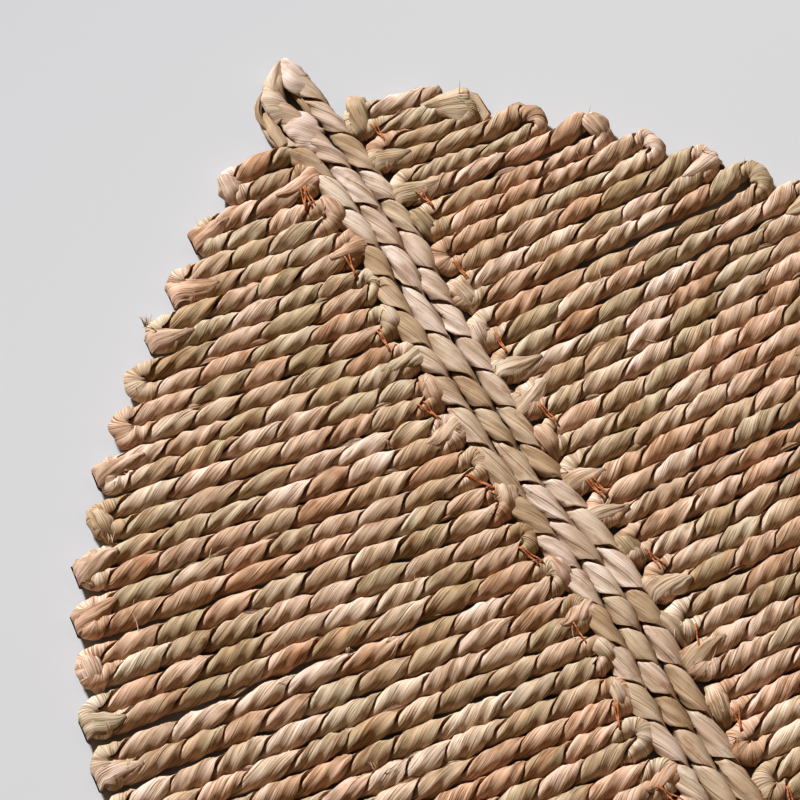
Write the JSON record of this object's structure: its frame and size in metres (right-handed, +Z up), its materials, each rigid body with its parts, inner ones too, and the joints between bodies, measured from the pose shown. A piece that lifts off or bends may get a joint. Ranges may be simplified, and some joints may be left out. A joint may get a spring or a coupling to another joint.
{
  "type": "straw placemat",
  "caption": "Flat leaf-shaped table mat of twisted husk rope, laid back and forth on both sides of a rope midrib, with a folded rope tip and a short stem.",
  "frame": {"origin": "centre of the mat's bounding box, at the flat underside that lies on the table", "axes": "+Z up out of the table, +Y along the midrib towards the leaf's tip, +X to the right of the leaf seen from above"},
  "size_m": [0.3484, 0.4846, 0.0067],
  "materials": {
    "husk_rope": "dry twisted husk, satin to matte",
    "midrib_rope": "dry twisted husk, paler, satin to matte",
    "thread": "twisted orange-brown thread, matte"
  },
  "bodies": {
    "root": {"left_field": "husk_rope", "right_field": "husk_rope", "tip_rope": "midrib_rope", "side_rope": "midrib_rope"}
  },
  "joints": []
}
